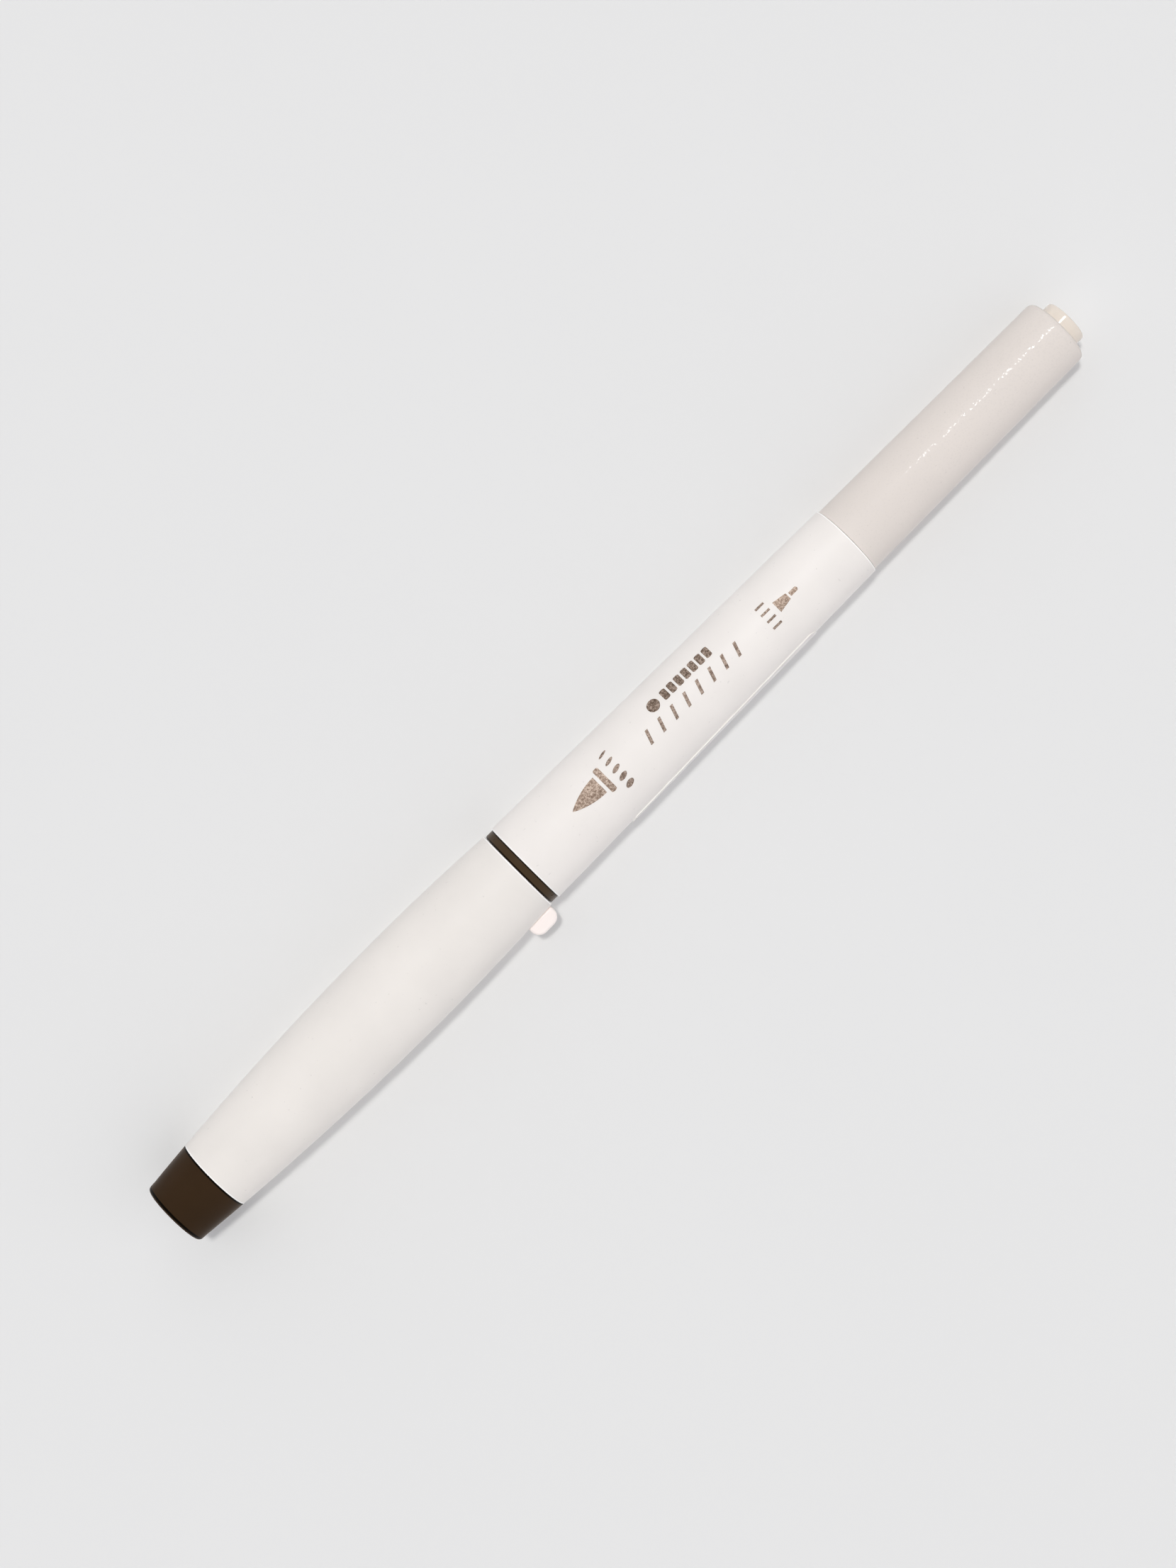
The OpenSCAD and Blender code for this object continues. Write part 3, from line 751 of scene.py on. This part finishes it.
def fine_cap_shell():
    """Straight tapered cap, with a hole in its end wall for the button's stem."""
    corners = [
        (FINE_RIM, FINE_SEAT_R, 0.12), (FINE_RIM, FINE_RIM_R, 0.1), (FINE_END, FINE_END_R, FINE_CORNER_R),
        (FINE_END, BUTTON_STEM_R), (FINE_WALL, BUTTON_STEM_R), (FINE_WALL, FINE_CAVITY_R, 0.1),
        (FINE_SHOULDER, FINE_CAVITY_R, 0.05), (FINE_SHOULDER, FINE_SEAT_R, 0.05),
    ]
    dress(lathe("fine_cap_shell_moulding", corners), BEIGE, "fine_cap", "beige_plastic", "fine_cap_shell")


def fine_cap_button():
    """End button with a barb on its stem, and the small dimple where the mould was filled."""
    stem = first("fine_cap_button")
    barb, barb_full, barb_r = FINE_WALL - 0.8, FINE_WALL - 0.55, 2.05
    dimple, dimple_r = PEN_END - 0.12, 0.45
    corners = [
        (stem, 0), (stem, BUTTON_STEM_R, 0.1), (barb, BUTTON_STEM_R), (barb_full, barb_r),
        (FINE_WALL, barb_r), (FINE_WALL, BUTTON_STEM_R), (FINE_END, BUTTON_STEM_R),
        (FINE_END, BUTTON_R, 0.05), (PEN_END, BUTTON_R, 0.32), (PEN_END, dimple_r + 0.1, 0.1),
        (dimple, dimple_r, 0.1), (dimple, 0),
    ]
    dress(lathe("fine_cap_button_moulding", corners), BUTTON, "fine_cap", "button_plastic", "fine_cap_button")


def fine_cap_liner():
    """Inner cap that seals on the fine section's boss."""
    mouth, end = first("fine_cap_liner"), last("fine_cap_liner")
    flange = mouth + 3.3
    floor_end = end - 1
    seal_end, bore_start = FINE_BOSS + 0.2, FINE_BOSS + 0.35
    outer_r, seal_r, bore_r = 3.05, 2.55, 2.3
    flange_r = half_height("fine_cap_liner")
    corners = [
        (floor_end, 0), (floor_end, bore_r, 0.4), (bore_start, bore_r), (seal_end, seal_r),
        (mouth, seal_r, 0.2), (mouth, flange_r, 0.12), (flange, flange_r, 0.05), (flange, outer_r),
        (end, outer_r, 0.6), (end, 0),
    ]
    liner("fine_cap_liner_moulding", corners, (mouth, flange), floor_r=3.2, width_r=3.4,
          body="fine_cap_carrier", node="fine_cap_liner")


# ---------------------------------------------------------------- on the barrel's surface

def on_barrel(bm, rows, inner, outer, rim=0):
    """Closed slab on the barrel from rows of (station, arc) points, with heights in millimetres over
    the surface. An arc is a distance round the pen from straight up towards +Y. rim is the material
    index of the slab's edge and of its outermost strips."""
    def lifted(x, arc, height):
        r = barrel_radius(x)
        return bm.verts.new(at(x, r + height, arc / r))

    low, high = [[[lifted(x, arc, height) for x, arc in row] for row in rows] for height in (inner, outer)]
    last_row, last_column = len(rows) - 1, len(rows[0]) - 1
    for i in range(last_row):
        for j in range(last_column):
            bm.faces.new([low[i][j], low[i][j + 1], low[i + 1][j + 1], low[i + 1][j]])
            top = bm.faces.new([high[i][j], high[i + 1][j], high[i + 1][j + 1], high[i][j + 1]])
            top.material_index = rim if i in (0, last_row - 1) or j in (0, last_column - 1) else 0
    edge = [(0, j) for j in range(last_column)] + [(i, last_column) for i in range(last_row)]
    edge += [(last_row, j) for j in range(last_column, 0, -1)] + [(i, 0) for i in range(last_row, 0, -1)]
    for (i, j), (k, m) in zip(edge, edge[1:] + edge[:1]):
        bm.faces.new([low[i][j], high[i][j], high[k][m], low[k][m]]).material_index = rim


# Foil print: how far it reaches into the barrel and stands over it, the arc of its middle, and the least
# width of a mark, which keeps its ends from closing to a point
FOIL_UNDER = -0.03
FOIL_OVER = 0.012
PRINT_MIDDLE = 0.28
LEAST_WIDTH = 0.02


def rows_along(start, end, width, steps=24, across=10, middle=0.0, lean=0.0):
    """Rows of points for a mark that runs along the pen, whose width is a function of the share of its
    length. lean shifts its end round the pen."""
    rows = []
    for i in range(steps + 1):
        share = i / steps
        half = max(width(share), LEAST_WIDTH) / 2
        centre = middle + lean * (share - 0.5)
        rows.append([(start + (end - start) * share, centre - half + 2 * half * j / across)
                     for j in range(across + 1)])
    return rows


def rows_round(start, end, station, length, steps=16, across=4, lean=0.0):
    """Rows of points for a mark that runs round the pen from one arc to another, whose length along the
    pen is a function of the share. lean shifts its end along the pen."""
    rows = []
    for i in range(steps + 1):
        share = i / steps
        half = max(length(share), LEAST_WIDTH) / 2
        centre = station + lean * (share - 0.5)
        rows.append([(centre - half + 2 * half * j / across, start + (end - start) * share)
                     for j in range(across + 1)])
    return rows


def rounded_block(share, full, length, radius):
    """Width of a block with round ends at a share of its length."""
    distance = min(share, 1 - share) * length
    if distance >= radius:
        return full
    return full - 2 * (radius - math.sqrt(max(radius ** 2 - (radius - distance) ** 2, 0)))


def middles_round(count, reach):
    """Arcs of the middles of a number of marks that share a reach round the print's middle."""
    pitch = reach / count
    return [PRINT_MIDDLE + reach / 2 - pitch * (k + 0.5) for k in range(count)]


def foil_marks(name, marks, material):
    """One piece of foil print from the rows of its marks."""
    bm = bmesh.new()
    for rows in marks:
        on_barrel(bm, rows, FOIL_UNDER, FOIL_OVER)
    dress(finished(bm, name), material, "pen", "foil_print")


def print_brush_end():
    """A brush tip that points to the brush end, a band, and dabs from thin to thick."""
    point, root, width = BARREL_START + 7.8, BARREL_START + 12.05, 2.3
    tip = rows_along(point, root, lambda s: width * math.sin(math.pi / 2 * s) ** 0.8, 40, 14, PRINT_MIDDLE)
    place, thickness, reach = BARREL_START + 12.83, 0.75, 3.36
    band = rows_round(PRINT_MIDDLE - reach / 2, PRINT_MIDDLE + reach / 2, place,
                      lambda s: rounded_block(s, thickness, reach, 0.18), 30)
    foil_marks("foil_brush_pictogram", [tip, band], FOIL)
    middle, half_length, lean = BARREL_START + 14.6, 0.62, 0.25
    dabs = []
    for k, arc in enumerate(middles_round(5, 5.7)):
        fullest = 0.32 + 0.11 * k
        dabs.append(rows_along(middle - half_length, middle + half_length,
                               lambda s, w=fullest: w * math.sin(math.pi * s) ** 0.5, 20, 6, arc, lean))
    foil_marks("foil_brush_dabs", dabs, FINE_FOIL)


def print_middle():
    """A row of slanted pen strokes, and beside it a disc and a row of short blocks."""
    count, start, end = 8, BARREL_START + 19.7, BARREL_START + 33.5
    thickness, lean = 0.42, 0.55
    strokes = []
    for k in range(count):
        place = start + (end - start) * k / (count - 1)
        strokes.append(rows_round(-0.68, 0.96, place, lambda s: thickness, 14, 4, lean))
    foil_marks("foil_stroke_row", strokes, FINE_FOIL)
    disc_r = 0.8
    low, high = 1.6, 1.6 + 2 * disc_r
    disc = BARREL_START + 21.7 + disc_r
    blocks = [rows_round(low, high, disc,
                         lambda s: 2 * disc_r * math.sqrt(max(0, 1 - (2 * s - 1) ** 2)), 24, 8)]
    count, start, end = 7, disc + disc_r + 0.45, BARREL_START + 31.4
    pitch, gap = (end - start) / count, 0.28
    inset, corner = 0.12, 0.2
    reach = high - low - 2 * inset
    for k in range(count):
        place = start + pitch * (k + 0.5)
        blocks.append(rows_round(low + inset, high - inset, place,
                                 lambda s: rounded_block(s, pitch - gap, reach, corner), 24, 6))
    foil_marks("foil_block_row", blocks, DARK_FOIL)


def print_fine_end():
    """Thin lines of one width, a tapered section and a fine tip that points to the fine end."""
    middle, half_length, thickness = BARREL_START + 38.6, 0.64, 0.28
    lines = [rows_along(middle - half_length, middle + half_length, lambda s: thickness, 12, 3, arc)
             for arc in middles_round(4, 3.9)]
    foil_marks("foil_fine_lines", lines, FINE_FOIL)
    root, front = BARREL_START + 39.9, BARREL_START + 41.7
    cone = rows_along(root, front, lambda s: 1.45 - 0.6 * s, 12, 8, PRINT_MIDDLE)
    start, end = BARREL_START + 41.95, BARREL_START + 43.1
    point = rows_along(start, end, lambda s: rounded_block(0.5 + s / 2, 0.52, 2 * (end - start), 0.24),
                       16, 6, PRINT_MIDDLE)
    foil_marks("foil_fine_pictogram", [cone, point], FOIL)


def barrel_label():
    """Blank label round the underside, laid on slightly askew, with round corners. Its edge and outermost
    strips carry a near-white painted highlight.
    """
    start, end = first("barrel_label"), last("barrel_label")
    corner = 1.0
    thickness = 0.14
    skew = math.radians(10.5)
    wrap = math.radians(150)
    first_edge = -math.radians(72.5)
    steps, across = 60, 48
    # Share of the label's width, at each side, in the near-white strip of painted highlight
    highlight_strip = 0.01
    inner_shares = [highlight_strip + (1 - 2 * highlight_strip) * j / across for j in range(1, across)]
    shares_across = [0, highlight_strip] + inner_shares + [1 - highlight_strip, 1]
    rows = []
    for i in range(steps + 1):
        share = 0.5 - 0.5 * math.cos(math.pi * i / steps)
        x = start + (end - start) * share
        r = barrel_radius(x)
        distance = min(x - start, end - x)
        trim = 0.0
        if distance < corner:
            trim = corner - math.sqrt(max(corner ** 2 - (corner - distance) ** 2, 0))
        edge = first_edge + skew * (share - 0.5)
        upper, lower = edge * r - trim, (edge - wrap) * r + trim
        rows.append([(x, upper + (lower - upper) * s) for s in shares_across])
    bm = bmesh.new()
    on_barrel(bm, rows, 0.0, thickness, rim=1)
    piece = dress(finished(bm, "label_sticker"), LABEL, "pen", "label_paper", "barrel_label")
    # Second material: the painted highlight on the label's edge and outermost strips
    piece.data.materials.append(LABEL_EDGE_HIGHLIGHT)


# ---------------------------------------------------------------- sealed inside

def dress_inside():
    """The pieces sealed inside keep their CAD shape and take a real material."""
    for node, material in (
        ("ink_reservoir", INK_FIBRE), ("brush_relay_core", INK_FIBRE), ("fine_relay_core", INK_FIBRE),
        ("reservoir_sleeve", FILM), ("brush_nib_collar", NATURAL),
    ):
        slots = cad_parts[node].data.materials
        slots.clear()
        slots.append(material)


# ---------------------------------------------------------------- floor, lights and camera

def floor():
    """Plain pale floor. The pen lies on its belly and on the start of the fine cap's round corner, so the
    floor is turned to touch both."""
    end, end_r = FINE_END - FINE_CORNER_R, FINE_END_R + 0.02
    run, drop = end - BELLY, BELLY_R - end_r
    slope = (run - math.sqrt(run ** 2 - 2 * RIM_CURVE_R * drop)) / RIM_CURVE_R
    contact = BELLY + slope * RIM_CURVE_R
    height = AXIS_Z - (BELLY_R - slope ** 2 * RIM_CURVE_R / 2)
    bm = bmesh.new()
    bmesh.ops.create_grid(bm, x_segments=8, y_segments=8, size=2.0)
    for vert in bm.verts:
        vert.co.z = height * MM + slope * (vert.co.x - (START + contact) * MM)
    piece = finished(bm, "floor")
    n = Nodes("pale_floor")
    cloud = n.noise(0.02, detail=2)
    n.set(Base_Color=n.ramp(cloud, [(0.2, 0.747), (0.8, 0.757)]), Roughness=0.9, Specular_IOR_Level=0.0)
    piece.data.materials.append(n.material)


def aim(obj, target, turn=0.0):
    """Points an object's -Z at a target, with its X along the pen turned by an angle."""
    forward = (target - obj.location).normalized()
    side = Vector((math.cos(turn), math.sin(turn), 0))
    side = (side - forward * side.dot(forward)).normalized()
    up = side.cross(forward)
    obj.rotation_euler = Matrix((side, up, -forward)).transposed().to_euler()


def light(name, kind, place, energy, shadow=True, gloss=True, **settings):
    """A light at a place in metres, aimed at the middle of the pen. gloss shows it in reflections."""
    data = bpy.data.lights.new(name, kind)
    data.energy = energy
    data.use_shadow = shadow
    for key, value in settings.items():
        setattr(data, key, value)
    obj = bpy.data.objects.new(name, data)
    obj.location = Vector(place)
    obj.visible_glossy = gloss
    bpy.context.scene.collection.objects.link(obj)
    aim(obj, Vector((0, 0, 0)))
    return obj


def sun(name, direction, energy, spread=0, shadow=True, **settings):
    """A sun from a direction, with a spread in degrees, kept out of reflections."""
    light(name, "SUN", direction, energy, shadow=shadow, gloss=False, angle=math.radians(spread), **settings)


def lights():
    """A strip softbox high on the +Y side for the gloss, a small warm key for the shadow, and even fill
    that is cooler at the sides."""
    warm, cool = (1.01, 1.005, 0.97), (0.985, 0.985, 1.03)
    strip_height, strip_lean, key_lean = 0.7, math.radians(17), math.radians(9)
    strip_place = (0.22, strip_height * math.tan(strip_lean), strip_height)
    strip = light("strip_softbox", "AREA", strip_place, 1.1, shadow=False, shape="RECTANGLE",
                  size=0.2, size_y=0.12)
    strip.visible_diffuse = False
    sun("key", (0, math.tan(key_lean), 1), 1.2, spread=6, color=warm)
    sun("fill_right", (0, -0.87, 0.5), 1.3, spread=100, shadow=False, color=cool)
    sun("fill_left", (0, 0.87, 0.5), 1.18, spread=100, shadow=False, color=cool)
    sun("fill_top", (0, 0, 1), 0.44, shadow=False)
    sun("fill_fine_end", (1, 0, 0.8), 0.25, shadow=False)


def studio():
    """White walls, as bright as the floor, under a dimmer ceiling. They are seen directly and in
    reflections, and light the pen and the floor only a little."""
    wall, ceiling, given = 0.79, 0.2, 0.08
    wall_top, ceiling_start = 0.3, 0.42
    world = bpy.data.worlds.new("studio")
    world.use_nodes = True
    nodes, links = world.node_tree.nodes, world.node_tree.links

    def blend(value, low, high, at_low, at_high):
        """Goes from at_low, a number or a socket, to at_high as a value goes from low to high."""
        share = nodes.new("ShaderNodeMapRange")
        share.inputs["From Min"].default_value = low
        share.inputs["From Max"].default_value = high
        share.inputs["To Max"].default_value = at_high
        if isinstance(at_low, bpy.types.NodeSocket):
            links.new(at_low, share.inputs["To Min"])
        else:
            share.inputs["To Min"].default_value = at_low
        links.new(value, share.inputs["Value"])
        return share.outputs["Result"]

    direction = nodes.new("ShaderNodeSeparateXYZ")
    links.new(nodes.new("ShaderNodeTexCoord").outputs["Generated"], direction.inputs["Vector"])
    room = blend(direction.outputs["Z"], wall_top, ceiling_start, wall, ceiling)
    diffuse = nodes.new("ShaderNodeLightPath").outputs["Is Diffuse Ray"]
    background = nodes["Background"]
    background.inputs["Color"].default_value = (1, 1, 1, 1)
    links.new(blend(diffuse, 0, 1, room, given), background.inputs["Strength"])
    bpy.context.scene.world = world


def camera():
    """Looks almost straight down near the pen's middle, with the pen rising to the right."""
    height = 420.0
    over_station = 61.5
    aim_station, aim_side = 66.96, 1.27
    view_height = 176.1
    rise = math.radians(45.07)
    sensor = 36.0
    data = bpy.data.cameras.new("camera")
    data.sensor_fit = "AUTO"
    data.sensor_width = sensor
    data.lens = sensor * height / view_height
    data.clip_start = 0.01
    data.clip_end = 20
    obj = bpy.data.objects.new("camera", data)
    bpy.context.scene.collection.objects.link(obj)
    obj.location = Vector((START + over_station, AXIS_Y + aim_side, AXIS_Z + height)) * MM
    aim(obj, Vector((START + aim_station, AXIS_Y + aim_side, AXIS_Z)) * MM, turn=-rise)
    bpy.context.scene.camera = obj


camera()
brush_cap_shell()
brush_cap_plug()
roll_stop_lug()
brush_cap_liner()
barrel()
brush_section()
brush_tip()
fine_section()
fine_tip()
fine_cap_shell()
fine_cap_button()
fine_cap_liner()
print_brush_end()
print_middle()
print_fine_end()
barrel_label()
dress_inside()
floor()
lights()
studio()
bpy.context.scene.view_settings.view_transform = "Standard"
